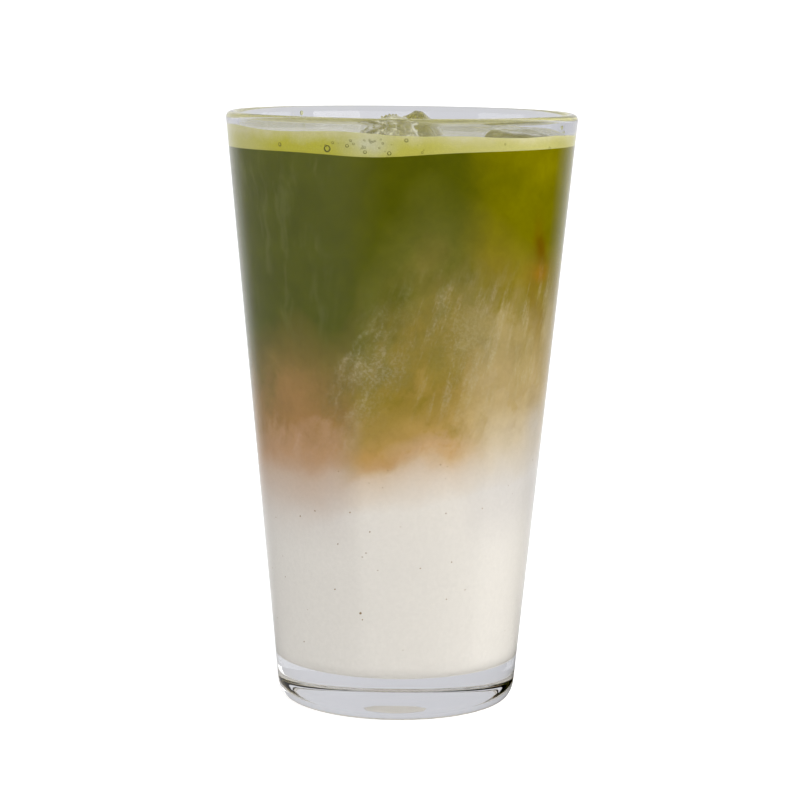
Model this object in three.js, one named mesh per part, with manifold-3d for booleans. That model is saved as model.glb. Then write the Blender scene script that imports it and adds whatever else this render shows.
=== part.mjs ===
// An iced matcha latte in a tapered clear tumbler: milk at the bottom, a blended band, matcha, froth and ice.
// Millimetres, +Z up. The origin is the centre of the foot, where the glass stands, and -Y is the front.

import * as THREE from "three";
import { mergeVertices } from "three/addons/utils/BufferGeometryUtils.js";
import Module from "manifold-3d";

const wasm = await Module();
wasm.setup();

// Tumbler: a 16 fl oz mixing glass
const GLASS_HEIGHT = 149;
const RIM_RADIUS = 44.1;
const TABLE_RADIUS = 29.9; // the straight outer wall carried down to the table
const RIM_WALL = 3;
const BASE_WALL = 3.8;
const FLOOR_HEIGHT = 10.7; // top of the thick base
const FLOOR_CORNER = 4; // inside round between floor and wall
const FOOT_RADIUS = 27;
const HEEL_HEIGHT = 5; // outside round between foot and wall
const HOLLOW_RADIUS = 24; // shallow hollow under the base
const HOLLOW_DEPTH = 2.2;
const ROUND_STEPS = 5;
const GLASS_SIDES = 64;

// Drink: the height of each boundary at the middle, and how far it climbs to the right
const FIT_GAP = 0.3; // between neighbouring solids
const LAYER_GAP = 0.4; // between one layer of drink and the next
const MILK_TOP = 64;
const MILK_CLIMB = 6;
const MATCHA_BOTTOM = 93;
const MATCHA_CLIMB = 11;
const FROTH_BOTTOM = 141;
const FROTH_BOTTOM_CLIMB = 0.5;
const FROTH_TOP = 144.2;
const FROTH_TOP_CLIMB = -1;
const FROTH_CLING = 0.9; // how far the froth creeps up the wall
const FROTH_CLING_POWER = 7;
const FROTH_RIPPLE = 0.2;
const DRINK_SIDES = 48;
const DRINK_RINGS = 7;
const MILK_WALL_STEPS = 6;
const MILK_WALL_CROWDING = 2.5; // crowds those steps into the rounded corner

// Bumps on the boundaries, in shares of the inside radius: p to the right and q to the back
const MILK_PLUME = { p: 0.86, q: -0.5, reach: 0.34, rise: 8 };
const MATCHA_TONGUE = { p: 0.04, q: -1, reach: 0.55, rise: -22 };
const MATCHA_BACK_TONGUE = { p: -0.35, q: 0.85, reach: 0.5, rise: -14 };
const MATCHA_PLUME = { p: 0.84, q: -0.5, reach: 0.34, rise: 8 };
const FROTH_DIP = { p: -0.16, q: -1, reach: 0.34, rise: -1 };

// Ice: half-melted cubes that break the surface, each tilted by its turns about X, Y and Z
const ICE_ROUNDNESS = 4.6; // power of the rounded cube: higher is squarer
const ICE_CUTS = 5;
const ICE_DENT = 0.045;
const ICE_CUBES = [
  { name: "ice_cube_front", at: [-3, -29.3, 139.9], size: [17, 16, 17], turns: [0.12, -0.54, 0.15], phase: 0.4 },
  { name: "ice_cube_middle", at: [4.3, -8, 139.6], size: [15, 15, 17], turns: [0.62, -0.5, 0.3], phase: 2.1 },
  { name: "ice_cube_right", at: [28, -13, 137.6], size: [15, 14, 15], turns: [0.06, 0.08, -0.45], phase: 4.4 },
];

// Finishes
const clearGlass = new THREE.MeshStandardMaterial({
  color: 0xe9eef0,
  roughness: 0.04,
  metalness: 0,
  transparent: true,
  opacity: 0.3,
});
const milkWhite = new THREE.MeshStandardMaterial({ color: 0xe6e0d5, roughness: 0.35, metalness: 0 });
const blendTan = new THREE.MeshStandardMaterial({ color: 0xb08a4c, roughness: 0.35, metalness: 0 });
const matchaGreen = new THREE.MeshStandardMaterial({ color: 0x5f611b, roughness: 0.35, metalness: 0 });
const frothYellow = new THREE.MeshStandardMaterial({ color: 0xc4c068, roughness: 0.5, metalness: 0 });
const iceClear = new THREE.MeshStandardMaterial({
  color: 0xdcdccb,
  roughness: 0.1,
  metalness: 0,
  transparent: true,
  opacity: 0.6,
});

// Outside of the straight tapered wall
function outerRadius(z) {
  return THREE.MathUtils.mapLinear(z, 0, GLASS_HEIGHT, TABLE_RADIUS, RIM_RADIUS);
}

// Inside of the straight tapered wall
function wallRadius(z) {
  return outerRadius(z) - THREE.MathUtils.mapLinear(z, 0, GLASS_HEIGHT, BASE_WALL, RIM_WALL);
}

// Middle of the arc that rounds the inside corner of the floor
const cornerHeight = FLOOR_HEIGHT + FLOOR_CORNER;
const cornerRadius = wallRadius(cornerHeight) - FLOOR_CORNER;

// Inside of the glass at any height above the floor, with the rounded corner
function insideRadius(z) {
  if (z >= cornerHeight) return wallRadius(z);
  return cornerRadius + Math.sqrt(Math.max(0, FLOOR_CORNER ** 2 - (cornerHeight - z) ** 2));
}

// Half section of the tumbler, from the hollow under the base, up the outside, over the rim and down the inside
function tumblerProfile() {
  const beadHeight = GLASS_HEIGHT - RIM_WALL / 2;
  const beadMiddle = (outerRadius(beadHeight) + wallRadius(beadHeight)) / 2;
  const beadHalf = outerRadius(beadHeight) - beadMiddle;
  const path = new THREE.Path();
  path.moveTo(0, HOLLOW_DEPTH);
  path.quadraticCurveTo(HOLLOW_RADIUS * 0.7, HOLLOW_DEPTH, HOLLOW_RADIUS, 0);
  path.lineTo(FOOT_RADIUS, 0);
  path.quadraticCurveTo(outerRadius(0), 0, outerRadius(HEEL_HEIGHT), HEEL_HEIGHT);
  path.lineTo(beadMiddle + beadHalf, beadHeight);
  path.absellipse(beadMiddle, beadHeight, beadHalf, RIM_WALL / 2, 0, Math.PI, false);
  path.lineTo(wallRadius(cornerHeight), cornerHeight);
  path.absarc(cornerRadius, cornerHeight, FLOOR_CORNER, 0, -Math.PI / 2, true);
  path.lineTo(0, FLOOR_HEIGHT);
  return path.getPoints(ROUND_STEPS);
}

// A solid of revolution about Z from a half section of radius and height
function turned(profile, sides) {
  return new THREE.LatheGeometry(profile, sides).rotateX(Math.PI / 2);
}

// How much one bump lifts a boundary at a place in plan
function lift(bump, p, q) {
  const away = Math.hypot(p - bump.p, q - bump.q) / bump.reach;
  return bump.rise * Math.exp(-away * away);
}

// Heights of the boundaries over the plan
function floorTop() {
  return FLOOR_HEIGHT + FIT_GAP;
}

function milkTop(p, q) {
  const swirl = 1.3 * Math.sin(5.2 * p + 1.1) * Math.cos(3.7 * q);
  return MILK_TOP + MILK_CLIMB * p + lift(MILK_PLUME, p, q) + swirl;
}

function matchaBottom(p, q) {
  const swirl = 1.6 * Math.sin(6.1 * p - 0.4) * Math.cos(4.3 * q + 0.8);
  const tongues = lift(MATCHA_TONGUE, p, q) + lift(MATCHA_BACK_TONGUE, p, q);
  return MATCHA_BOTTOM + MATCHA_CLIMB * p + tongues + lift(MATCHA_PLUME, p, q) + swirl;
}

function frothBottom(p, q) {
  return FROTH_BOTTOM + FROTH_BOTTOM_CLIMB * p + lift(FROTH_DIP, p, q);
}

function frothTop(p, q) {
  const ripple = FROTH_RIPPLE * (Math.sin(9 * p + 1.7 * q) + Math.cos(7.3 * q - 2.6 * p));
  const cling = FROTH_CLING * Math.hypot(p, q) ** FROTH_CLING_POWER;
  return FROTH_TOP + FROTH_TOP_CLIMB * p + cling + ripple;
}

// The same boundary, one gap higher
function justAbove(boundary) {
  return (p, q) => boundary(p, q) + LAYER_GAP;
}

// A layer of drink that fills the glass between two boundaries, a fitting gap inside the wall
function layerGeometry(bottom, top, wallSteps = 1, crowding = 1) {
  const profile = [];
  for (let ring = 0; ring <= DRINK_RINGS; ring++) profile.push(new THREE.Vector2(ring / DRINK_RINGS, 0));
  for (let step = 1; step < wallSteps; step++) {
    profile.push(new THREE.Vector2(1, (step / wallSteps) ** crowding));
  }
  for (let ring = DRINK_RINGS; ring >= 0; ring--) profile.push(new THREE.Vector2(ring / DRINK_RINGS, 1));
  const geometry = turned(profile, DRINK_SIDES);
  const place = geometry.attributes.position;
  for (let i = 0; i < place.count; i++) {
    const p = place.getX(i);
    const q = place.getY(i);
    const z = THREE.MathUtils.lerp(bottom(p, q), top(p, q), place.getZ(i));
    const reach = insideRadius(z) - FIT_GAP;
    place.setXYZ(i, p * reach, q * reach, z);
  }
  return geometry;
}

// A half-melted ice cube about its own middle, grown all round by a gap where it is used as a cutter
function iceGeometry(cube, growth = 0) {
  const geometry = new THREE.BoxGeometry(2, 2, 2, ICE_CUTS, ICE_CUTS, ICE_CUTS);
  const place = geometry.attributes.position;
  const half = new THREE.Vector3(...cube.size).multiplyScalar(0.5).addScalar(growth);
  const point = new THREE.Vector3();
  for (let i = 0; i < place.count; i++) {
    point.fromBufferAttribute(place, i);
    const { x, y, z } = point;
    const powers = Math.abs(x) ** ICE_ROUNDNESS + Math.abs(y) ** ICE_ROUNDNESS + Math.abs(z) ** ICE_ROUNDNESS;
    const dent = Math.sin(2.3 * x + cube.phase) * Math.sin(2.7 * y - cube.phase) + Math.sin(3.1 * z + cube.phase);
    point.multiplyScalar(powers ** (-1 / ICE_ROUNDNESS) * (1 + ICE_DENT * dent)).multiply(half);
    place.setXYZ(i, point.x, point.y, point.z);
  }
  return geometry;
}

// A closed geometry as a solid that can be cut
function solidOf(geometry) {
  const bare = geometry.clone();
  bare.deleteAttribute("normal");
  bare.deleteAttribute("uv");
  const merged = mergeVertices(bare);
  const mesh = new wasm.Mesh({
    numProp: 3,
    vertProperties: new Float32Array(merged.attributes.position.array),
    triVerts: new Uint32Array(merged.index.array),
  });
  return new wasm.Manifold(mesh);
}

// A solid back as a geometry
function geometryOf(solid) {
  const { numProp, vertProperties, triVerts } = solid.getMesh();
  const geometry = new THREE.BufferGeometry();
  geometry.setAttribute("position", new THREE.BufferAttribute(vertProperties, numProp));
  geometry.setIndex(new THREE.BufferAttribute(triVerts, 1));
  geometry.computeVertexNormals();
  return geometry;
}

// A layer with pockets for the ice that sits in it
function pocketed(geometry) {
  const placed = new THREE.Object3D();
  let solid = solidOf(geometry);
  for (const cube of ICE_CUBES) {
    placed.position.set(...cube.at);
    placed.rotation.set(...cube.turns);
    placed.updateMatrix();
    solid = solid.subtract(solidOf(iceGeometry(cube, FIT_GAP).applyMatrix4(placed.matrix)));
  }
  return geometryOf(solid);
}

function named(name, geometry, material) {
  const mesh = new THREE.Mesh(geometry, material);
  mesh.name = name;
  return mesh;
}

const latte = new THREE.Group();
latte.add(named("glass_tumbler", turned(tumblerProfile(), GLASS_SIDES), clearGlass));

const milk = layerGeometry(floorTop, milkTop, MILK_WALL_STEPS, MILK_WALL_CROWDING);
latte.add(named("milk_layer", milk, milkWhite));
latte.add(named("blended_layer", layerGeometry(justAbove(milkTop), matchaBottom), blendTan));
latte.add(named("matcha_layer", pocketed(layerGeometry(justAbove(matchaBottom), frothBottom)), matchaGreen));
latte.add(named("froth_layer", pocketed(layerGeometry(justAbove(frothBottom), frothTop)), frothYellow));

for (const cube of ICE_CUBES) {
  const ice = named(cube.name, iceGeometry(cube), iceClear);
  ice.position.set(...cube.at);
  ice.rotation.set(...cube.turns);
  latte.add(ice);
}

export default latte;
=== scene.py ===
"""Looks of an iced matcha latte in a tapered clear tumbler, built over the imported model.

Lengths in the classes are millimetres in the model's own frame, with +Z up and -Y towards the viewer.
Meshes are written in metres.
"""

import logging
import math
import random
from collections.abc import Callable, Sequence
from dataclasses import dataclass
from enum import Enum
from typing import Any

import bmesh
import bpy
from mathutils import Matrix, Vector, noise


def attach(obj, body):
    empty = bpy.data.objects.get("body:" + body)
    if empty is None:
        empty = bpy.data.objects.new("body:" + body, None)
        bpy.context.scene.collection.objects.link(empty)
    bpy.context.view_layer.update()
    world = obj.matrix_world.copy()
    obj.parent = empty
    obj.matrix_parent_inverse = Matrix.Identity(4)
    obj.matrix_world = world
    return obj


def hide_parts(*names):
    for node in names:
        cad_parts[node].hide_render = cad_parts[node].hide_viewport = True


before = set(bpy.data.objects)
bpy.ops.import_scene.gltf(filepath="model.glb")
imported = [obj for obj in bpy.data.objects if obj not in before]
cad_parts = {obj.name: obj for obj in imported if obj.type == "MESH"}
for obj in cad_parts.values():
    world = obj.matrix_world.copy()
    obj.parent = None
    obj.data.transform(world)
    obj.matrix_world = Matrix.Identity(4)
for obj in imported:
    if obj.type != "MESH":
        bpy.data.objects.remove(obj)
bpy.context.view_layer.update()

LOG = logging.getLogger("latte")
MM = 0.001
BODY = "root"
WALL_BITE = 0.3  # how far the drink reaches into the glass, so that no air shows between them

Colour = tuple[float, float, float]
Point = tuple[float, float, float]
Pair = tuple[float, float]
Stops = Sequence[tuple[float, Colour]]
Piece = bpy.types.Object
Material = bpy.types.Material
Node = bpy.types.Node
Socket = bpy.types.NodeSocket
Height = Callable[[float, float], float]


class Slot(Enum):
    """The record's material slots."""

    GLASS = "clear_glass"
    MILK = "milk_white"
    BLEND = "blend_tan"
    MATCHA = "matcha_green"
    FROTH = "froth_yellow"
    ICE = "ice_clear"


class Graph:
    """A material's node tree, written as calls that return sockets."""

    def __init__(self, tree: bpy.types.NodeTree) -> None:
        """Empties the tree.

        Args:
            tree: the tree to fill.
        """
        self.tree = tree
        self.tree.nodes.clear()

    def node(self, kind: str, **settings: Any) -> Node:
        """Adds a node.

        Args:
            kind: the node's type name.
            settings: attributes to set on it.

        Returns:
            The new node.
        """
        made = self.tree.nodes.new(kind)
        for name, value in settings.items():
            setattr(made, name, value)
        return made

    def feed(self, socket: Socket, value: Any) -> None:
        """Links a socket to an input, or sets the input to a plain value.

        Args:
            socket: the input.
            value: an output socket, a number, a colour or a vector.
        """
        if isinstance(value, Socket):
            self.tree.links.new(value, socket)
        elif socket.type == "RGBA" and len(value) == 3:
            socket.default_value = (*value, 1.0)
        else:
            socket.default_value = value

    def fed(self, kind: str, **values: Any) -> Node:
        """Adds a node and feeds its inputs.

        Args:
            kind: the node's type name.
            values: its inputs by name, with spaces written as underscores.

        Returns:
            The new node.
        """
        made = self.node(kind)
        for name, value in values.items():
            self.feed(made.inputs[name.replace("_", " ")], value)
        return made

    def math(self, operation: str, a: Any, b: Any = 0.0, clamp: bool = False) -> Socket:
        """Works on two numbers.

        Args:
            operation: the name of the operation.
            a: the first number.
            b: the second number.
            clamp: True to keep the result between 0 and 1.

        Returns:
            The result.
        """
        made = self.node("ShaderNodeMath", operation=operation, use_clamp=clamp)
        self.feed(made.inputs[0], a)
        self.feed(made.inputs[1], b)
        return made.outputs[0]

    def times(self, first: Any, *others: Any) -> Socket:
        """Multiplies numbers.

        Args:
            first: the first number.
            others: the other numbers.

        Returns:
            The product.
        """
        for other in others:
            first = self.math("MULTIPLY", first, other)
        return first

    def vector(self, operation: str, a: Any, b: Any = (0.0, 0.0, 0.0)) -> Socket:
        """Works on two vectors, or scales one by a number.

        Args:
            operation: the name of the operation.
            a: the first vector.
            b: the second vector, or the number for SCALE.

        Returns:
            The result: a number for DOT_PRODUCT, and else a vector.
        """
        made = self.node("ShaderNodeVectorMath", operation=operation)
        self.feed(made.inputs[0], a)
        self.feed(made.inputs["Scale"] if operation == "SCALE" else made.inputs[1], b)
        return made.outputs["Value"] if operation == "DOT_PRODUCT" else made.outputs["Vector"]

    def split(self, place: Socket) -> tuple[Socket, Socket, Socket]:
        """Splits a vector.

        Args:
            place: the vector.

        Returns:
            Its X, Y and Z.
        """
        return tuple(self.fed("ShaderNodeSeparateXYZ", Vector=place).outputs)

    def place(self) -> Socket:
        """Gives the object's own coordinates.

        Returns:
            The place in millimetres.
        """
        return self.vector("SCALE", self.node("ShaderNodeTexCoord").outputs["Object"], 1 / MM)

    def noise(
        self, place: Socket, size: float, detail: float = 3.0, rough: float = 0.5, output: str = "Fac"
    ) -> Socket:
        """Gives a cloudy noise.

        Args:
            place: where to read it, in millimetres.
            size: the width of its largest clouds, in millimetres.
            detail: how many finer octaves it has.
            rough: how strong the finer octaves are.
            output: Fac for a number, or Color for three.

        Returns:
            The noise, 0 to 1.
        """
        made = self.fed("ShaderNodeTexNoise", Vector=place, Scale=1 / size, Detail=detail, Roughness=rough)
        return made.outputs[output]

    def warp(self, place: Socket, size: float, reach: float, detail: float = 2.0) -> Socket:
        """Swirls a place about.

        Args:
            place: the place in millimetres.
            size: the width of the swirls.
            reach: how far they carry a point.
            detail: how many finer octaves they have.

        Returns:
            The swirled place.
        """
        drift = self.vector("SUBTRACT", self.noise(place, size, detail, output="Color"), (0.5, 0.5, 0.5))
        return self.vector("ADD", place, self.vector("SCALE", drift, 2 * reach))

    def ramp(self, fac: Socket, stops: Stops, smooth: str = "LINEAR") -> Socket:
        """Looks up a colour.

        Args:
            fac: the place on the ramp, 0 to 1.
            stops: pairs of place and colour.
            smooth: the way of blending between stops.

        Returns:
            The colour.
        """
        made = self.node("ShaderNodeValToRGB")
        made.color_ramp.interpolation = smooth
        elements = made.color_ramp.elements
        elements[0].position, elements[1].position = stops[0][0], stops[-1][0]
        for spot, _ in stops[1:-1]:
            elements.new(spot)
        for element, (_, colour) in zip(elements, stops):
            element.color = (*colour, 1.0)
        self.feed(made.inputs[0], fac)
        return made.outputs[0]

    def curve(self, value: Socket, stops: Sequence[Pair]) -> Socket:
        """Looks up a number on a smooth curve.

        Args:
            value: the number to look up.
            stops: pairs of number and result, in rising order.

        Returns:
            The result.
        """
        low, high = stops[0][0], stops[-1][0]
        least, most = min(s[1] for s in stops), max(s[1] for s in stops)
        greys = [((a - low) / (high - low), ((b - least) / (most - least),) * 3) for a, b in stops]
        spot = self.math("DIVIDE", self.math("SUBTRACT", value, low), high - low, clamp=True)
        share = self.ramp(spot, greys, "B_SPLINE")
        return self.math("ADD", self.times(share, most - least), least)

    def step(self, value: Any, start: float, end: float) -> Socket:
        """Rises smoothly from 0 to 1.

        Args:
            value: the number to look up.
            start: where the rise starts.
            end: where it ends; it may be the lower of the two.

        Returns:
            The share.
        """
        made = self.fed("ShaderNodeMapRange", Value=value, From_Min=start, From_Max=end)
        made.interpolation_type = "SMOOTHSTEP"
        return made.outputs[0]

    def mix(self, fac: Any, a: Any, b: Any) -> Socket:
        """Mixes two colours.

        Args:
            fac: the share of the second.
            a: the first colour.
            b: the second colour.

        Returns:
            The mixed colour.
        """
        made = self.node("ShaderNodeMix", data_type="RGBA")
        self.feed(made.inputs[0], fac)
        self.feed(made.inputs[6], a)
        self.feed(made.inputs[7], b)
        return made.outputs[2]

    def blob(self, place: Socket, centre: Point, reach: Point) -> Socket:
        """Gives a soft round patch.

        Args:
            place: the place in millimetres.
            centre: the patch's middle.
            reach: its reach along X, Y and Z.

        Returns:
            A share, 1 at the middle and near 0 at twice the reach.
        """
        away = self.vector("DIVIDE", self.vector("SUBTRACT", place, centre), reach)
        return self.math("EXPONENT", self.times(self.vector("DOT_PRODUCT", away, away), -1.0))

    def principled(self, **values: Any) -> Node:
        """Adds a Principled shader.

        Args:
            values: its inputs, as in fed.

        Returns:
            The node.
        """
        return self.fed("ShaderNodeBsdfPrincipled", **values)

    def bump(self, height: Socket, depth: float) -> Socket:
        """Turns a height into a normal.

        Args:
            height: the height, 0 to 1.
            depth: its depth in millimetres.

        Returns:
            The normal.
        """
        return self.fed("ShaderNodeBump", Distance=depth * MM, Height=height).outputs[0]

    def blend(self, fac: Socket, a: Node, b: Node) -> Node:
        """Mixes two shaders.

        Args:
            fac: the share of the second.
            a: the first shader.
            b: the second shader.

        Returns:
            The mixed shader.
        """
        both = self.node("ShaderNodeMixShader")
        self.feed(both.inputs[0], fac)
        self.feed(both.inputs[1], a.outputs[0])
        self.feed(both.inputs[2], b.outputs[0])
        return both

    def see_through(self, shader: Node, tint: Colour) -> Node:
        """Lets lamps shine through a clear shader.

        Args:
            shader: the clear shader.
            tint: the colour of the light that passes.

        Returns:
            The shader to put on the surface.
        """
        clear = self.fed("ShaderNodeBsdfTransparent", Color=tint)
        return self.blend(self.node("ShaderNodeLightPath").outputs["Is Shadow Ray"], shader, clear)

    def surface(self, shader: Node) -> None:
        """Puts a shader on the surface.

        Args:
            shader: the shader node.
        """
        self.fed("ShaderNodeOutputMaterial", Surface=shader.outputs[0])


def new_material(name: str) -> tuple[Material, Graph]:
    """Makes a material with an empty tree.

    Args:
        name: the material's name.

    Returns:
        The material and its graph.
    """
    material = bpy.data.materials.new(name)
    material.use_nodes = True
    return material, Graph(material.node_tree)


def to_object(name: str, bm: bmesh.types.BMesh) -> Piece:
    """Turns a mesh in millimetres into an object at the origin, in metres.

    Args:
        name: the object's name.
        bm: the mesh, which is freed.

    Returns:
        The object, linked to the scene.
    """
    bmesh.ops.recalc_face_normals(bm, faces=bm.faces)
    bmesh.ops.scale(bm, vec=(MM, MM, MM), verts=bm.verts)
    for face in bm.faces:
        face.smooth = True
    mesh = bpy.data.meshes.new(name)
    bm.to_mesh(mesh)
    bm.free()
    made = bpy.data.objects.new(name, mesh)
    bpy.context.scene.collection.objects.link(made)
    return made


def spin(bm: bmesh.types.BMesh, geom: list[Any], sides: int) -> None:
    """Turns a line of a mesh once round Z into a skin.

    Args:
        bm: the mesh.
        geom: the line's verts and edges.
        sides: the number of steps round.
    """
    full = 2 * math.pi
    bmesh.ops.spin(bm, geom=geom, cent=(0, 0, 0), axis=(0, 0, 1), angle=full, steps=sides, use_merge=True)


def turned(profile: Sequence[Pair], sides: int) -> bmesh.types.BMesh:
    """Turns a half section about Z.

    Args:
        profile: pairs of radius and height, from axis to axis.
        sides: the number of steps round.

    Returns:
        The closed mesh.
    """
    bm = bmesh.new()
    verts = [bm.verts.new((r, 0.0, z)) for r, z in profile]
    edges = [bm.edges.new(pair) for pair in zip(verts, verts[1:])]
    spin(bm, verts + edges, sides)
    bmesh.ops.remove_doubles(bm, verts=bm.verts, dist=1e-5)
    return bm


def arc(centre: Pair, reach: Pair, start: float, end: float, steps: int) -> list[Pair]:
    """Lists points along part of an ellipse.

    Args:
        centre: its middle.
        reach: its half width and half height.
        start: the first angle, in degrees.
        end: the last angle.
        steps: the number of steps between them.

    Returns:
        The points, both ends among them.
    """
    angles = [math.radians(start + (end - start) * i / steps) for i in range(steps + 1)]
    return [(centre[0] + reach[0] * math.cos(a), centre[1] + reach[1] * math.sin(a)) for a in angles]


def bend(a: Pair, b: Pair, c: Pair, steps: int) -> list[Pair]:
    """Lists points along a quadratic curve.

    Args:
        a: its first point.
        b: its control point.
        c: its last point.
        steps: the number of steps.

    Returns:
        The points, both ends among them.
    """
    points = []
    for i in range(steps + 1):
        t = i / steps
        points.append(tuple((1 - t) ** 2 * p + 2 * t * (1 - t) * q + t * t * r for p, q, r in zip(a, b, c)))
    return points


@dataclass(frozen=True)
class GlassShape:
    """The tumbler's sizes, as they are in the model."""

    height: float = 149.0
    rim_radius: float = 44.1
    table_radius: float = 29.9
    rim_wall: float = 3.0
    base_wall: float = 3.8
    floor: float = 10.7
    corner: float = 4.0
    foot_radius: float = 27.0
    heel: float = 5.0
    hollow_radius: float = 24.0
    hollow_depth: float = 2.2

    def outer(self, z: float) -> float:
        """Gives the outside radius of the straight wall.

        Args:
            z: the height.

        Returns:
            The radius.
        """
        return self.table_radius + (self.rim_radius - self.table_radius) * z / self.height

    def wall(self, z: float) -> float:
        """Gives the inside radius of the straight wall.

        Args:
            z: the height.

        Returns:
            The radius.
        """
        return self.outer(z) - self.base_wall - (self.rim_wall - self.base_wall) * z / self.height

    def inside(self, z: float) -> float:
        """Gives the inside radius with the rounded floor corner.

        Args:
            z: the height, above the floor.

        Returns:
            The radius.
        """
        middle = self.floor + self.corner
        if z >= middle:
            return self.wall(z)
        return self.wall(middle) - self.corner + math.sqrt(max(0.0, self.corner**2 - (middle - z) ** 2))

    def profile(self) -> list[Pair]:
        """Lists the half section, up the outside, over the rim and down the inside.

        Returns:
            Pairs of radius and height.
        """
        bead = self.height - self.rim_wall / 2
        middle = (self.outer(bead) + self.wall(bead)) / 2
        half = self.outer(bead) - middle
        low = self.floor + self.corner
        hollow = self.hollow_radius
        points = bend((0.0, self.hollow_depth), (hollow * 0.7, self.hollow_depth), (hollow, 0.0), 16)
        points += bend((hollow + 0.4, 0.0), (hollow + 1.5, 0.0), (self.foot_radius, 0.0), 3)
        points += bend((self.foot_radius, 0.0), (self.outer(0), 0.0), (self.outer(self.heel), self.heel), 12)
        rising = (self.heel + 0.4, self.heel + 4, 40.0, 80.0, 120.0, bead - 2, bead - 0.3)
        points += [(self.outer(z), z) for z in rising]
        points += arc((middle, bead), (half, self.rim_wall / 2), 0, 180, 20)
        falling = (bead - 0.3, bead - 2, 120.0, 80.0, 40.0, low + 4, low + 0.4)
        points += [(self.wall(z), z) for z in falling]
        points += arc((self.wall(low) - self.corner, low), (self.corner, self.corner), 0, -90, 12)
        points += [(self.wall(low) - self.corner - 0.5, self.floor), (0.0, self.floor)]
        kept = [points[0]]
        for point in points[1:]:
            if math.dist(point, kept[-1]) > 0.02:
                kept.append(point)
        return kept


@dataclass(frozen=True)
class Bump:
    """A soft bump on a boundary, in shares of the inside radius."""

    p: float
    q: float
    reach: float
    rise: float

    def at(self, p: float, q: float) -> float:
        """Gives the lift at a place in plan.

        Args:
            p: the share to the right.
            q: the share to the back.

        Returns:
            The lift.
        """
        return self.rise * math.exp(-(((p - self.p) ** 2 + (q - self.q) ** 2) / self.reach**2))


@dataclass(frozen=True)
class Boundary:
    """A boundary between layers, as it is in the model: tilted, with bumps, a swirl and a creeping edge."""

    level: float
    climb: float = 0.0
    bumps: tuple[Bump, ...] = ()
    swirl: float = 0.0
    waves: Pair = (0.0, 0.0)
    shifts: Pair = (0.0, 0.0)
    cling: float = 0.0
    cling_power: float = 7.0
    ripple: float = 0.0

    def at(self, p: float, q: float) -> float:
        """Gives the height at a place in plan.

        Args:
            p: the share to the right.
            q: the share to the back.

        Returns:
            The height.
        """
        right, back = (wave * c + shift for wave, c, shift in zip(self.waves, (p, q), self.shifts))
        swirl = self.swirl * math.sin(right) * math.cos(back)
        cling = self.cling * math.hypot(p, q) ** self.cling_power
        ripple = self.ripple * (math.sin(9 * p + 1.7 * q) + math.cos(7.3 * q - 2.6 * p))
        lifts = sum(bump.at(p, q) for bump in self.bumps)
        return self.level + self.climb * p + lifts + swirl + cling + ripple


SHAPE = GlassShape()
MILK_FLOOR = Boundary(SHAPE.floor - WALL_BITE)
MILK_TOP = Boundary(64.0, 6.0, (Bump(0.86, -0.5, 0.34, 8),), swirl=1.3, waves=(5.2, 3.7), shifts=(1.1, 0.0))
MATCHA_FLOOR = Boundary(
    93.0,
    11.0,
    (Bump(0.04, -1, 0.55, -22), Bump(-0.35, 0.85, 0.5, -14), Bump(0.84, -0.5, 0.34, 8)),
    swirl=1.6,
    waves=(6.1, 4.3),
    shifts=(-0.4, 0.8),
)
FROTH_FLOOR = Boundary(141.0, 0.5, (Bump(-0.16, -1, 0.34, -1),))
FROTH_TOP = Boundary(144.2, -1.0, cling=0.9, ripple=0.2)


def layer_mesh(
    bottom: Height, top: Height, sides: int, rings: int, steps: int, crowding: float = 1.0
) -> bmesh.types.BMesh:
    """Fills the glass between two boundaries, reaching just into its wall.

    Args:
        bottom: the lower boundary.
        top: the upper boundary.
        sides: the number of steps round.
        rings: the number of rings from the axis to the wall.
        steps: the number of steps up the wall.
        crowding: a power above 1 crowds those steps to the bottom.

    Returns:
        The closed mesh, in millimetres, with sharp edges where the wall meets the boundaries.
    """
    profile = [(i / rings, 0.0) for i in range(rings + 1)]
    profile += [(1.0, (i / steps) ** crowding) for i in range(1, steps)]
    profile += [(i / rings, 1.0) for i in range(rings, -1, -1)]
    bm = turned(profile, sides)
    for edge in bm.edges:
        ends = [(math.hypot(v.co.x, v.co.y) > 0.9999, v.co.z) for v in edge.verts]
        if all(outer for outer, _ in ends) and ends[0][1] == ends[1][1] and ends[0][1] in (0.0, 1.0):
            edge.smooth = False
    for vert in bm.verts:
        p, q, t = vert.co
        low, high = bottom(p, q), top(p, q)
        z = low + (high - low) * t
        reach = SHAPE.inside(max(z, SHAPE.floor)) + WALL_BITE
        vert.co = (p * reach, q * reach, z)
    return bm


def on_wall(azimuth: float, radius: float, z: float) -> Matrix:
    """Gives a frame on the wall whose Z points out of the glass.

    Args:
        azimuth: the angle from the front, in degrees, positive to the right.
        radius: the distance from the axis.
        z: the height.

    Returns:
        The frame's matrix.
    """
    angle = math.radians(azimuth)
    out = Vector((math.sin(angle), -math.cos(angle), 0.0))
    turn = out.to_track_quat("Z", "Y").to_matrix().to_4x4()
    return Matrix.Translation(out * radius + Vector((0, 0, z))) @ turn


@dataclass(frozen=True)
class ClearGlass:
    """Clear pressed glass with the faint waviness of its mould."""

    name: str = "clear_glass"
    tint: Colour = (0.985, 0.99, 0.995)
    wave: float = 26.0
    wave_depth: float = 0.05

    def make(self) -> Material:
        """Makes the material.

        Returns:
            The material.
        """
        material, g = new_material(self.name)
        waves = g.noise(g.place(), self.wave, 1.0)
        glass = g.principled(
            Base_Color=self.tint,
            Roughness=0.0,
            IOR=1.5,
            Transmission_Weight=1.0,
            Normal=g.bump(waves, self.wave_depth),
        )
        g.surface(g.see_through(glass, (0.97, 0.97, 0.97)))
        return material


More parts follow.
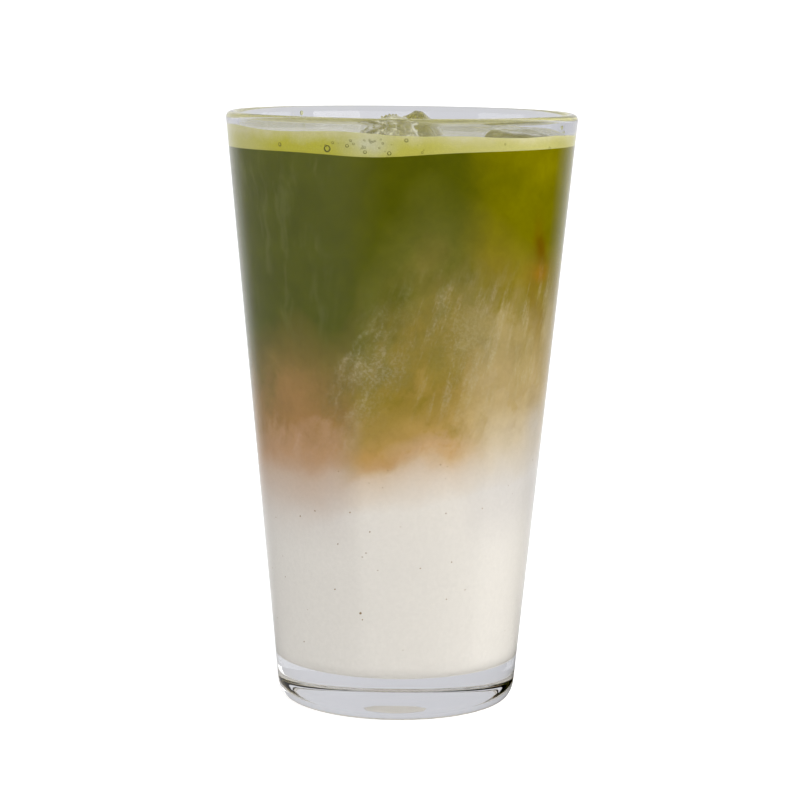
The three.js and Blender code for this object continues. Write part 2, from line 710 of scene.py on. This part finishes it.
@dataclass(frozen=True)
class Tint:
    """A patch of colour in the drink, on the wall."""

    centre: Point
    reach: Point
    colour: Colour
    strength: float
    grain: float = 0.0


@dataclass(frozen=True)
class LatteFinish:
    """Milk and matcha part mixed: one colour field that runs through all the layers, lighter and yellower to
    the right, partly from the mix and partly as painted light from the right.
    """

    name: str
    clear_top: tuple[Pair, ...] = (
        (-42, 92), (-33, 94), (-25, 108), (-16, 93), (-9, 110), (2, 138), (10, 140), (28, 119), (42, 118),
    )
    clear_bottom: tuple[Pair, ...] = ((-42, 46), (-22, 42), (-12, 54), (10, 55), (34, 63), (42, 60))
    middle: Stops = (
        (0.0, (0.085, 0.09, 0.002)),
        (0.2, (0.125, 0.125, 0.017)),
        (0.4, (0.20, 0.165, 0.033)),
        (0.65, (0.28, 0.20, 0.035)),
        (0.77, (0.41, 0.27, 0.08)),
        (0.83, (0.50, 0.34, 0.18)),
        (0.87, (0.59, 0.48, 0.36)),
        (1.0, (0.68, 0.65, 0.60)),
    )
    left: Stops = (
        (0.0, (0.086, 0.094, 0.006)),
        (0.28, (0.23, 0.16, 0.04)),
        (0.5, (0.32, 0.19, 0.06)),
        (0.64, (0.45, 0.28, 0.15)),
        (0.75, (0.53, 0.42, 0.33)),
        (1.0, (0.60, 0.56, 0.52)),
    )
    # Lighter and yellower matcha towards the right: partly the drink's mix, partly painted light that comes
    # in from the right through the drink's edge.
    right: Stops = (
        (0.0, (0.16, 0.145, 0.0)),
        (0.2, (0.22, 0.17, 0.015)),
        (0.44, (0.33, 0.255, 0.10)),
        (0.68, (0.40, 0.305, 0.14)),
        (0.84, (0.52, 0.44, 0.31)),
        (1.0, (0.59, 0.565, 0.535)),
    )
    milk: Colour = (0.672, 0.645, 0.598)
    mist: Colour = (0.46, 0.40, 0.24)
    bloom: Colour = (0.17, 0.18, 0.06)
    seam: tuple[Pair, ...] = ((66, -17), (78, -16), (88, -13), (98, -9.5), (112, -4))
    gold: tuple[Tint, ...] = (
        Tint((34, -22, 138), (6, 9, 5), (0.21, 0.185, 0.0), 0.9),
        Tint((25, -31, 134), (5, 6, 3), (0.13, 0.125, 0.0), 0.65),
        Tint((0, -34, 81), (12, 9, 4.5), (0.235, 0.172, 0.02), 0.6),
        Tint((9, -35, 92), (4, 8, 5), (0.20, 0.17, 0.03), 0.45),
        Tint((-0.5, -37, 107), (5, 8, 3), (0.10, 0.104, 0.009), 0.7),
    )
    caramel: tuple[Tint, ...] = (
        Tint((32.5, -19.5, 118), (1.3, 4, 6), (0.15, 0.07, 0.0), 0.9),
        Tint((32.8, -19, 111), (2.8, 5, 2.4), (0.30, 0.15, 0.01), 0.85),
        Tint((30.6, -22, 104), (1.2, 5, 6), (0.22, 0.145, 0.015), 0.8),
        Tint((32.6, -17, 99), (1.6, 5, 6.5), (0.24, 0.165, 0.03), 0.75),
        Tint((-23.6, -24, 79), (4.2, 8, 9), (0.345, 0.19, 0.07), 0.7),
        Tint((12, -31, 67.5), (6, 8, 2.4), (0.50, 0.30, 0.09), 0.6),
        Tint((-6, -32, 66.5), (10, 8, 2.6), (0.43, 0.25, 0.075), 0.65),
    )
    clouds: tuple[Tint, ...] = (
        Tint((-6, -35, 89), (6, 8, 4), (0.29, 0.25, 0.115), 0.6, 0.7),
        Tint((17, -33, 96), (7, 8, 8), (0.36, 0.30, 0.14), 0.6, 0.5),
        Tint((18, -30, 76), (6, 8, 7), (0.48, 0.37, 0.17), 0.5, 0.3),
        Tint((34.4, -13, 97), (1.1, 4, 8), (0.40, 0.33, 0.17), 0.6),
        Tint((33, -12, 71), (3.6, 6, 5), (0.50, 0.47, 0.43), 0.75),
    )

    def make(self) -> Material:
        """Makes the material.

        Returns:
            The material.
        """
        material, g = new_material(self.name)
        still = g.place()
        place = g.warp(g.warp(still, 22.0, 3.0), 7.0, 2.0, 4.0)
        x, _, z = g.split(place)
        top, bottom = g.curve(x, self.clear_top), g.curve(x, self.clear_bottom)
        even = g.math("DIVIDE", g.math("SUBTRACT", top, z), g.math("SUBTRACT", top, bottom), clamp=True)
        cloud = g.math("SUBTRACT", g.noise(place, 9.0, 6.0, 0.62), 0.5)
        streak = g.math("SUBTRACT", self.streaks(g, place, 4.5, 0.42, 0.28), 0.5)
        drift = g.math("ADD", g.times(cloud, 0.45), g.times(streak, 0.4))
        room = g.times(g.step(even, 0.08, 0.35), g.step(z, 62.0, 76.0))
        lifted = g.math("ADD", even, g.times(g.math("ADD", drift, 0.03), room), clamp=True)
        share = g.math("MINIMUM", lifted, g.math("MAXIMUM", even, 0.7))
        colour = g.ramp(share, self.middle)
        colour = g.mix(g.step(x, -7.0, -17.0), colour, g.ramp(share, self.left))
        # Lighter right side: partly the mix, partly painted light from the right.
        colour = g.mix(g.step(x, 12.0, 24.0), colour, g.ramp(share, self.right))
        colour = g.mix(g.step(z, 58.0, 38.0), colour, self.milk)
        speckle = g.step(g.noise(still, 0.8, 3.0, 0.7), 0.42, 0.66)
        for tint in self.gold + self.caramel + self.clouds:
            amount = g.times(g.blob(place, tint.centre, tint.reach), tint.strength)
            if tint.grain:
                broken = g.math("ADD", 1 - tint.grain, g.times(speckle, 1.6 * tint.grain))
                amount = g.math("MULTIPLY", amount, broken, clamp=True)
            colour = g.mix(amount, colour, tint.colour)
        colour = g.mix(self.seam_mist(g, still, speckle), colour, self.mist)
        threads = g.step(self.streaks(g, still, 2.6, 0.3, 0.2), 0.48, 0.7)
        grains = g.math("ADD", 0.45, g.times(speckle, 0.7))
        band = g.times(g.step(x, -8.0, 14.0), g.step(z, 70.0, 84.0), g.step(z, 116.0, 104.0))
        colour = g.mix(g.times(threads, grains, band, 0.5), colour, self.mist)
        rising = g.step(self.streaks(g, place, 4.0, 0.05, 0.14), 0.5, 0.68)
        band = g.times(g.step(x, -12.0, -20.0), g.step(z, 90.0, 104.0))
        colour = g.mix(g.times(rising, band, 0.3), colour, self.bloom)
        mottle = g.math("SUBTRACT", g.noise(place, 7.0, 5.0, 0.6), 0.5)
        mottle = g.times(mottle, g.step(z, 58.0, 76.0), 0.5)
        grain = g.times(g.noise(still, 0.9, 3.0, 0.6), 0.14)
        colour = g.vector("SCALE", colour, g.math("ADD", g.math("ADD", 0.93, grain), mottle))
        g.surface(g.principled(Base_Color=colour, Roughness=0.6, Specular_IOR_Level=0.0))
        return material

    def seam_mist(self, g: Graph, still: Socket, speckle: Socket) -> Socket:
        """Draws the grainy mist along the left border of the cloud.

        Args:
            g: the graph.
            still: the place in millimetres.
            speckle: the grain.

        Returns:
            The mist's share.
        """
        place = g.warp(still, 5.0, 1.6, 4.0)
        x, y, z = g.split(place)
        away = g.math("SUBTRACT", x, g.curve(z, self.seam))
        side = g.times(g.step(away, -3.0, 0.6), g.step(away, 19.0, 0.0))
        ends = g.times(g.step(z, 69.0, 82.0), g.step(z, 110.0, 94.0))
        threads = g.step(self.streaks(g, place, 2.8, 0.5, 0.34), 0.36, 0.74)
        grains = g.math("ADD", 0.3, g.times(speckle, 0.7))
        front = g.step(y, -10.0, -22.0)
        return g.math("MULTIPLY", g.times(side, ends, threads, grains, front), 0.65, clamp=True)

    def streaks(self, g: Graph, place: Socket, size: float, lean: float, draw: float) -> Socket:
        """Draws threads of milk that lean to the right as they rise.

        Args:
            g: the graph.
            place: the place in millimetres.
            size: the threads' width.
            lean: how far they lean for each millimetre of rise.
            draw: the share of their width over their length.

        Returns:
            A share, high along the threads.
        """
        x, y, z = g.split(place)
        leaning = g.math("SUBTRACT", x, g.times(z, lean))
        drawn = g.fed("ShaderNodeCombineXYZ", X=leaning, Y=y, Z=g.times(z, draw))
        return g.noise(drawn.outputs[0], size, 6.0, 0.6)


@dataclass(frozen=True)
class FrothFinish:
    """Fine wet froth, deep at its foot, paler upwards and to the right, and grey where it lies over ice."""

    name: str = "froth_yellow"
    deep: Colour = (0.45, 0.42, 0.028)
    pale: Colour = (0.57, 0.54, 0.29)
    grey: Colour = (0.53, 0.52, 0.36)
    open_top: Colour = (0.34, 0.31, 0.06)
    wall_reach: float = 40.3
    bubble: float = 1.9
    fine: float = 0.5

    def make(self) -> Material:
        """Makes the material.

        Returns:
            The material.
        """
        material, g = new_material(self.name)
        place = g.place()
        cloud = g.math("SUBTRACT", g.noise(place, 6.0, 4.0, 0.6), 0.5)
        x, y, z = g.split(place)
        away = g.math("SQRT", g.math("ADD", g.times(x, x), g.times(y, y)))
        height = g.math("ADD", z, g.times(cloud, 5.0))
        aside = g.math("ADD", g.step(x, -8.0, 24.0), g.step(x, -28.0, -38.0))
        share = g.math("ADD", g.step(height, 142.3, 147.0), g.times(aside, 0.5), clamp=True)
        colour = g.mix(share, self.deep, self.pale)
        over_ice = g.blob(g.warp(place, 3.0, 1.5), (-7.5, -38.0, 143.0), (5.5, 12.0, 3.0))
        colour = g.mix(g.times(over_ice, 0.9), colour, self.grey)
        top = g.vector("SCALE", self.open_top, g.math("ADD", 1.0, g.times(cloud, 0.8)))
        patches = g.step(g.noise(place, 11.0, 3.0), 0.42, 0.6)
        patches = g.math("MAXIMUM", patches, g.step(away, self.wall_reach - 6.0, self.wall_reach))
        lace = g.step(self.cells(g, g.warp(place, 4.0, 0.7), self.bubble), 0.16, 0.0)
        top = g.mix(g.times(lace, patches, 0.6), top, self.pale)
        colour = g.mix(g.step(away, self.wall_reach, self.wall_reach - 0.8), colour, top)
        film = g.step(self.cells(g, place, self.fine), 0.0, 0.3)
        colour = g.vector("SCALE", colour, g.math("ADD", 0.92, g.times(film, 0.1)))
        g.surface(g.principled(Base_Color=colour, Roughness=0.1, IOR=1.34, Normal=g.bump(film, 0.008)))
        return material

    def cells(self, g: Graph, place: Socket, size: float) -> Socket:
        """Packs bubbles side by side.

        Args:
            g: the graph.
            place: the place in millimetres.
            size: the width of a bubble.

        Returns:
            The distance to the nearest film between bubbles, in shares of their width.
        """
        made = g.fed("ShaderNodeTexVoronoi", Vector=place, Scale=1 / size)
        made.feature = "DISTANCE_TO_EDGE"
        return made.outputs["Distance"]


@dataclass(frozen=True)
class IceFinish:
    """Melting ice, clear with a dull cloudy core and a wet skin."""

    name: str = "ice_clear"
    clear: Colour = (0.92, 0.92, 0.76)
    cloud: Colour = (0.56, 0.54, 0.32)
    cloudy: float = 0.35

    def make(self) -> Material:
        """Makes the material.

        Returns:
            The material.
        """
        material, g = new_material(self.name)
        place = g.place()
        veins = g.noise(g.warp(place, 5.0, 2.0), 3.0, 5.0, 0.65)
        wet = g.noise(place, 4.0, 2.0)
        dull = g.times(g.step(veins, 0.42, 0.7), self.cloudy)
        ice = g.principled(
            Base_Color=g.mix(g.step(dull, 0.0, 0.1), self.clear, self.cloud),
            Roughness=0.06,
            IOR=1.31,
            Transmission_Weight=g.math("SUBTRACT", 1.0, dull),
            Normal=g.bump(wet, 0.3),
        )
        g.surface(g.see_through(ice, (0.93, 0.94, 0.9)))
        return material


@dataclass(frozen=True)
class BubbleFilm:
    """The clear skin of a bubble, or a drop of water."""

    name: str
    tint: Colour
    ior: float

    def make(self) -> Material:
        """Makes the material.

        Returns:
            The material.
        """
        material, g = new_material(self.name)
        swirl = g.noise(g.place(), 1.5, 2.0)
        colour = g.mix(swirl, self.tint, tuple(min(1.0, c * 1.08) for c in self.tint))
        film = g.principled(Base_Color=colour, Roughness=0.03, IOR=self.ior, Transmission_Weight=1.0)
        g.surface(g.see_through(film, (0.95, 0.95, 0.93)))
        return material


@dataclass(frozen=True)
class StainOrShadeFinish:
    """A dull flat colour with a little variation: a real stain on the leaf specks, painted shade on the
    bubble rims.
    """

    name: str
    dark: Colour
    light: Colour
    size: float

    def make(self) -> Material:
        """Makes the material.

        Returns:
            The material.
        """
        material, g = new_material(self.name)
        colour = g.mix(g.noise(g.place(), self.size, 3.0), self.dark, self.light)
        g.surface(g.principled(Base_Color=colour, Roughness=0.55, Specular_IOR_Level=0.1))
        return material


def settle(piece: Piece, material: Material, nodes: Sequence[str] = ()) -> None:
    """Dresses a piece, ties it to the frame and reports it.

    Args:
        piece: the finished object.
        material: its material.
        nodes: the model's nodes that it stands for.
    """
    piece.data.materials.clear()
    piece.data.materials.append(material)
    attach(piece, BODY)
    if nodes:
        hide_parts(*nodes)
    LOG.info("%s: %d faces", piece.name, len(piece.data.polygons))


@dataclass
class Tumbler:
    """The clear glass."""

    sides: int = 192

    def build(self) -> Piece:
        """Turns the glass.

        Returns:
            The object.
        """
        return to_object("tumbler", turned(SHAPE.profile(), self.sides))

    def dress(self, piece: Piece) -> None:
        """Finishes the glass.

        Args:
            piece: the object.
        """
        settle(piece, ClearGlass().make(), ["glass_tumbler"])


@dataclass
class DrinkLayer:
    """One layer of the drink."""

    node: str
    slot: Slot
    bottom: Height
    top: Height
    steps: int = 12
    crowding: float = 1.0
    sides: int = 144
    rings: int = 12

    def build(self) -> Piece:
        """Fills the layer between its boundaries.

        Returns:
            The object.
        """
        mesh = layer_mesh(self.bottom, self.top, self.sides, self.rings, self.steps, self.crowding)
        return to_object(self.node + "_fill", mesh)

    def dress(self, piece: Piece) -> None:
        """Finishes the layer.

        Args:
            piece: the object.
        """
        settle(piece, LatteFinish(self.slot.value).make(), [self.node])


@dataclass
class Froth:
    """The froth on top, with lumps and a creeping edge."""

    lump: float = 0.05
    lump_size: float = 4.5
    reach: float = 41.0
    sides: int = 180
    rings: int = 48

    def relief(self, p: float, q: float) -> float:
        """Gives the froth's top with its lumps.

        Args:
            p: the share to the right.
            q: the share to the back.

        Returns:
            The height.
        """
        spot = Vector((p * self.reach, q * self.reach, 0.0)) / self.lump_size
        return FROTH_TOP.at(p, q) + self.lump * noise.fractal(spot, 0.8, 2.1, 4)

    def build(self) -> Piece:
        """Makes the froth.

        Returns:
            The object.
        """
        return to_object("froth", layer_mesh(FROTH_FLOOR.at, self.relief, self.sides, self.rings, 8))

    def dress(self, piece: Piece) -> None:
        """Finishes the froth.

        Args:
            piece: the object.
        """
        settle(piece, FrothFinish().make(), ["froth_layer"])


@dataclass
class IceCube:
    """One half-melted ice cube."""

    node: str
    at: Point
    size: Point
    turns: Point
    phase: float
    finish: IceFinish = IceFinish()
    roundness: float = 4.6
    dent: float = 0.045
    melt: float = 0.03
    cuts: int = 23

    def skin(self, spot: Vector) -> Vector:
        """Moves a point of a cube of half width 1 to the melted skin.

        Args:
            spot: the point on the cube.

        Returns:
            The point in the model's frame.
        """
        power = sum(abs(c) ** self.roundness for c in spot) ** (-1 / self.roundness)
        dent = math.sin(2.3 * spot.x + self.phase) * math.sin(2.7 * spot.y - self.phase)
        dent += math.sin(3.1 * spot.z + self.phase)
        melt = self.melt * noise.fractal(spot * 1.6 + Vector((self.phase, 0, 0)), 0.9, 2.2, 3)
        grown = spot * power * (1 + self.dent * dent + melt)
        local = Vector(c * s / 2 for c, s in zip(grown, self.size))
        return self.matrix() @ local

    def matrix(self) -> Matrix:
        """Gives the cube's place.

        Returns:
            The matrix from the cube's own frame.
        """
        x, y, z = (Matrix.Rotation(turn, 4, axis) for turn, axis in zip(self.turns, "XYZ"))
        return Matrix.Translation(self.at) @ x @ y @ z

    def build(self) -> Piece:
        """Melts the cube.

        Returns:
            The object.
        """
        bm = bmesh.new()
        bmesh.ops.create_cube(bm, size=2.0)
        bmesh.ops.subdivide_edges(bm, edges=bm.edges, cuts=self.cuts, use_grid_fill=True)
        for vert in bm.verts:
            vert.co = self.skin(vert.co)
        return to_object(self.node + "_melted", bm)

    def dress(self, piece: Piece) -> None:
        """Finishes the cube.

        Args:
            piece: the object.
        """
        settle(piece, self.finish.make(), [self.node])


@dataclass
class IceBubbles:
    """Froth bubbles that cling to the front ice."""

    cube: IceCube
    count: int = 260
    low: float = 0.16
    high: float = 0.55
    froth: float = 143.0
    bare: float = 145.0
    fade: float = 6.0
    seed: int = 11

    def spot(self, rng: random.Random) -> Vector:
        """Picks a place on the ice above the froth.

        Args:
            rng: the source of chance.

        Returns:
            The place.
        """
        while True:
            spot = Vector(rng.uniform(-1, 1) for _ in range(3))
            spot /= max(abs(c) for c in spot)
            place = self.cube.skin(spot)
            if place.z > self.froth and rng.random() > (place.z - self.bare) / self.fade:
                return place

    def build(self) -> Piece:
        """Scatters the bubbles.

        Returns:
            The object.
        """
        rng = random.Random(self.seed)
        bm = bmesh.new()
        for _ in range(self.count):
            place = Matrix.Translation(self.spot(rng))
            size = self.low + (self.high - self.low) * rng.random() ** 3
            bmesh.ops.create_icosphere(bm, subdivisions=2, radius=size, matrix=place)
        return to_object("ice_bubbles", bm)

    def dress(self, piece: Piece) -> None:
        """Finishes the bubbles.

        Args:
            piece: the object.
        """
        settle(piece, BubbleFilm("bubble_film", (0.97, 0.97, 0.88), 1.2).make())


@dataclass
class WallBubbles:
    """Larger bubbles in the froth that press against the glass, each drawn as a dark ring on the wall:
    painted shade for the bubble's dark rim.

    Each spot is the angle from the front in degrees, the height and the radius.
    """

    spots: tuple[Point, ...] = (
        (-25, 141.7, 0.7), (-44, 142.2, 0.4), (-18, 142.5, 0.34), (-12, 141.1, 0.34), (-4, 140.9, 0.4),
        (1.5, 144.0, 0.38), (58, 141.6, 0.34), (36, 143.0, 0.22),
    )
    small: int = 26
    tube: float = 0.24
    sides: int = 20
    seed: int = 3

    def build(self) -> Piece:
        """Makes the rings, the listed ones and small ones over the front ice.

        Returns:
            The object.
        """
        rng = random.Random(self.seed)
        spots = list(self.spots)
        for _ in range(self.small):
            spots.append((rng.gauss(-8, 8), rng.uniform(140.9, 144.2), rng.uniform(0.1, 0.26)))
        bm = bmesh.new()
        for azimuth, z, size in spots:
            older = set(bm.verts)
            upright = Matrix.Translation((size, 0, 0)) @ Matrix.Rotation(math.pi / 2, 4, "X")
            tube = bmesh.ops.create_circle(bm, segments=8, radius=size * self.tube, matrix=upright)["verts"]
            edges = list({edge for vert in tube for edge in vert.link_edges})
            spin(bm, tube + edges, self.sides)
            ring = [vert for vert in bm.verts if vert not in older]
            place = on_wall(azimuth, SHAPE.wall(z) + WALL_BITE - 0.02, z)
            bmesh.ops.transform(bm, matrix=place, verts=ring)
        return to_object("wall_bubbles", bm)

    def dress(self, piece: Piece) -> None:
        """Finishes the rings.

        Args:
            piece: the object.
        """
        # The dark ring's colour is painted shade for the rim of a bubble pressed against the glass.
        finish = StainOrShadeFinish("bubble_rim_painted_shade", (0.09, 0.09, 0.008), (0.17, 0.165, 0.03), 0.5)
        settle(piece, finish.make())


@dataclass
class MilkSpecks:
    """Specks of leaf that hang in the milk at the wall.

    Each spot is the angle from the front in degrees, the height and the half width.
    """

    spots: tuple[Point, ...] = (
        (-17, 27.5, 0.34), (-38, 52.4, 0.22), (-12, 48.4, 0.2), (-27, 44.7, 0.22), (25, 40.5, 0.2),
        (21, 53, 0.2),
    )
    strays: int = 60
    thickness: float = 0.06
    seed: int = 5

    def build(self) -> Piece:
        """Scatters the specks, the listed ones and smaller strays all round.

        Returns:
            The object.
        """
        rng = random.Random(self.seed)
        spots = list(self.spots)
        for _ in range(self.strays):
            spots.append((rng.uniform(0, 360), rng.uniform(16, 66), rng.uniform(0.1, 0.22)))
        bm = bmesh.new()
        for azimuth, z, size in spots:
            spin = Matrix.Rotation(rng.uniform(0, 6), 4, "Z")
            squash = Matrix.Diagonal((size, size * rng.uniform(0.6, 1.0), self.thickness, 1.0))
            place = on_wall(azimuth, SHAPE.inside(z) + WALL_BITE, z) @ spin @ squash
            bmesh.ops.create_icosphere(bm, subdivisions=2, radius=1.0, matrix=place)
        return to_object("milk_specks", bm)

    def dress(self, piece: Piece) -> None:
        """Finishes the specks.

        Args:
            piece: the object.
        """
        finish = StainOrShadeFinish("leaf_speck", (0.20, 0.13, 0.06), (0.36, 0.26, 0.15), 0.3)
        settle(piece, finish.make())


@dataclass
class Droplets:
    """Drops that cling to the inside of the glass above the froth.

    Each spot is the angle from the front in degrees, the height and the half width.
    """

    spots: tuple[Point, ...] = (
        (-140, 147.2, 0.5), (66, 146.4, 0.42), (68, 145.2, 0.3), (120, 146.8, 0.35), (-95, 147.4, 0.3),
    )
    sag: float = 1.25
    rise: float = 0.55

    def build(self) -> Piece:
        """Makes the drops.

        Returns:
            The object.
        """
        bm = bmesh.new()
        for azimuth, z, size in self.spots:
            squash = Matrix.Diagonal((size, size * self.sag, size * self.rise, 1.0))
            place = on_wall(azimuth, SHAPE.wall(z) - 0.05, z) @ squash
            bmesh.ops.create_icosphere(bm, subdivisions=3, radius=1.0, matrix=place)
        return to_object("droplets", bm)

    def dress(self, piece: Piece) -> None:
        """Finishes the drops.

        Args:
            piece: the object.
        """
        settle(piece, BubbleFilm("water_drop", (0.8, 0.8, 0.5), 1.33).make())


@dataclass(frozen=True)
class Lamp:
    """A soft box that faces the drink."""

    name: str
    at: Point
    size: Pair
    watts: float
    colour: Colour = (1.0, 1.0, 1.0)
    aim: Point = (0.0, 0.0, 80.0)

    def hang(self) -> None:
        """Hangs the lamp."""
        light = bpy.data.lights.new(self.name, "AREA")
        light.shape = "RECTANGLE"
        light.size, light.size_y = self.size[0] * MM, self.size[1] * MM
        light.energy = self.watts
        light.color = self.colour
        lamp = bpy.data.objects.new(self.name, light)
        lamp.visible_glossy = False
        back = Vector(self.at) - Vector(self.aim)
        turn = back.to_track_quat("Z", "Y").to_matrix().to_4x4()
        lamp.matrix_world = Matrix.Translation(Vector(self.at) * MM) @ turn
        bpy.context.scene.collection.objects.link(lamp)


@dataclass
class Studio:
    """A pale sweep, soft light from all round and a key from the right, and the camera."""

    reach: float = 3000.0
    wall_at: float = 1500.0
    sweep: float = 500.0
    wall_height: float = 1800.0
    floor_colour: Colour = (0.92, 0.92, 0.925)
    floor_glow: float = 0.3
    # Painted light on the paper under the glass's foot, over the glass's shadow.
    painted_foot_light: float = 0.45
    # Painted reflections: pale fields on the sweep that glow only for mirrored rays.
    painted_left_reflection: float = 0.33
    painted_back_reflection: float = 0.9
    painted_wall_reflection: float = 0.86
    # Painted light: the even grey seen through the glass in place of the shaded floor under it.
    painted_grey_through_glass: Colour = (0.635, 0.637, 0.672)
    sky: Colour = (0.97, 0.975, 1.0)
    sky_strength: float = 0.7
    lamps: tuple[Lamp, ...] = (
        Lamp("key", (1000, -900, 500), (900, 900), 8.8, (1.0, 0.985, 0.96)),
        Lamp("fill", (150, -1500, 400), (1400, 900), 4.8),
        Lamp("left", (-1200, -300, 300), (900, 900), 4.4),
        Lamp("right", (1200, 250, 300), (700, 900), 3.4),
    )
    eye: Point = (0.0, -663.76, 174.39)
    pitch: float = 8.439
    roll: float = 0.625
    focal_px: float = 2641.7
    middle_px: Pair = (398.87, 400.96)
    frame_px: float = 800.0

    def floor(self) -> None:
        """Makes the sweep of paper, from the floor up into the wall behind."""
        bm = bmesh.new()
        foot = self.wall_at - self.sweep
        line = [(-self.reach, 0.0), (foot, 0.0)]
        line += arc((foot, self.sweep), (self.sweep, self.sweep), -90, 0, 24)
        line += [(self.wall_at, self.wall_height)]
        verts = [bm.verts.new((-self.reach, y, z)) for y, z in line]
        edges = [bm.edges.new(pair) for pair in zip(verts, verts[1:])]
        swept = bmesh.ops.extrude_edge_only(bm, edges=edges)["geom"]
        far = [vert for vert in swept if isinstance(vert, bmesh.types.BMVert)]
        bmesh.ops.translate(bm, vec=(2 * self.reach, 0, 0), verts=far)
        bmesh.ops.remove_doubles(bm, verts=bm.verts, dist=0.01)
        piece = to_object("floor", bm)
        piece.data.materials.append(self.paper())

    def paper(self) -> Material:
        """Makes the sweep's finish, which depends on the way a ray came.

        A mirrored ray sees pale fields at the left, behind and above, on black: painted reflections of soft
        boxes, glowing only for mirrored rays. A ray that passed through glass sees an even grey, painted
        light in place of the shaded floor under the glass. Any other ray sees paper, which glows a little all
        over and more under the glass's foot, where the extra glow is painted light over its shadow.

        Returns:
            The material.
        """
        material, g = new_material("pale_floor")
        x, y, z = g.split(g.place())
        away = g.math("SQRT", g.math("ADD", g.times(x, x), g.times(y, y)))
        # An even glow keeps the paper white; the extra glow under the glass's foot is painted light over the
        # glass's shadow.
        glow = g.math("ADD", self.floor_glow, g.times(g.step(away, 27.0, 18.0), self.painted_foot_light))
        paper = g.principled(
            Base_Color=self.floor_colour,
            Roughness=0.9,
            Specular_IOR_Level=0.0,
            Emission_Color=(1.0, 1.0, 1.0),
            Emission_Strength=glow,
        )
        # Painted reflections: pale fields, left, behind and above, that glow only for mirrored rays.
        left = g.times(g.step(g.math("DIVIDE", x, away), -0.08, -0.68), self.painted_left_reflection)
        turn = g.math("SUBTRACT", g.math("DIVIDE", y, away), g.times(g.step(x, 0.0, -1.0), 0.05))
        behind = g.times(g.step(turn, 0.52, 1.06), self.painted_back_reflection)
        up = g.times(g.step(z, 5.0, 60.0), self.painted_wall_reflection)
        shown = g.math("MAXIMUM", g.math("ADD", left, behind, clamp=True), up)
        mirrored = g.fed("ShaderNodeEmission", Strength=shown)
        path = g.node("ShaderNodeLightPath")
        direct = g.math("LESS_THAN", path.outputs["Diffuse Depth"], 0.5)
        # Painted light: rays that came through glass see an even lavender-grey instead of the shaded floor
        # under the glass.
        through = g.fed("ShaderNodeEmission", Color=self.painted_grey_through_glass)
        bounced = g.blend(g.times(direct, path.outputs["Is Glossy Ray"]), paper, mirrored)
        g.surface(g.blend(g.times(direct, path.outputs["Is Transmission Ray"]), bounced, through))
        return material

    def light(self) -> None:
        """Sets the sky and the lamps."""
        world = bpy.data.worlds.new("soft_sky")
        bpy.context.scene.world = world
        world.use_nodes = True
        g = Graph(world.node_tree)
        sky = g.fed("ShaderNodeBackground", Color=self.sky, Strength=self.sky_strength)
        g.fed("ShaderNodeOutputWorld", Surface=sky.outputs[0])
        for lamp in self.lamps:
            lamp.hang()

    def camera(self) -> None:
        """Sets the camera at the photograph's viewpoint."""
        lens = bpy.data.cameras.new("camera")
        lens.sensor_width = 36.0
        lens.lens = self.focal_px / self.frame_px * lens.sensor_width
        lens.shift_x = 0.5 - self.middle_px[0] / self.frame_px
        lens.shift_y = self.middle_px[1] / self.frame_px - 0.5
        lens.clip_end = 20.0
        eye = bpy.data.objects.new("camera", lens)
        tilt = Matrix.Rotation(math.radians(90 - self.pitch), 4, "X")
        roll = Matrix.Rotation(math.radians(self.roll), 4, "Z")
        eye.matrix_world = Matrix.Translation(Vector(self.eye) * MM) @ tilt @ roll
        bpy.context.scene.collection.objects.link(eye)
        bpy.context.scene.camera = eye

    def build(self) -> None:
        """Sets up floor, light and camera."""
        self.floor()
        self.light()
        self.camera()
        view = bpy.context.scene.view_settings
        view.view_transform = "Standard"
        view.look = "None"


def main() -> None:
    """Builds the studio and every piece of the drink in order."""
    logging.basicConfig(level=logging.INFO, format="%(name)s %(message)s")
    Studio().build()
    frothy = IceFinish("ice_frothy", cloud=(0.72, 0.70, 0.52), cloudy=0.8)
    front = IceCube("ice_cube_front", (-3, -29.3, 139.4), (17, 16, 17), (0.12, -0.54, 0.15), 0.4, frothy, 3.6)
    parts = [
        Tumbler(),
        DrinkLayer("milk_layer", Slot.MILK, MILK_FLOOR.at, MILK_TOP.at, 40, 2.5),
        DrinkLayer("blended_layer", Slot.BLEND, MILK_TOP.at, MATCHA_FLOOR.at),
        DrinkLayer("matcha_layer", Slot.MATCHA, MATCHA_FLOOR.at, FROTH_FLOOR.at),
        Froth(),
        front,
        IceCube("ice_cube_middle", (4.3, -8, 138.5), (15, 15, 17), (0.68, -0.56, 0.3), 2.1, roundness=7.5),
        IceCube("ice_cube_right", (28, -13, 137.6), (15, 14, 15), (0.06, 0.08, -0.45), 4.4),
        IceBubbles(front),
        WallBubbles(),
        MilkSpecks(),
        Droplets(),
    ]
    for part in parts:
        part.dress(part.build())


if __name__ == "__main__":
    main()
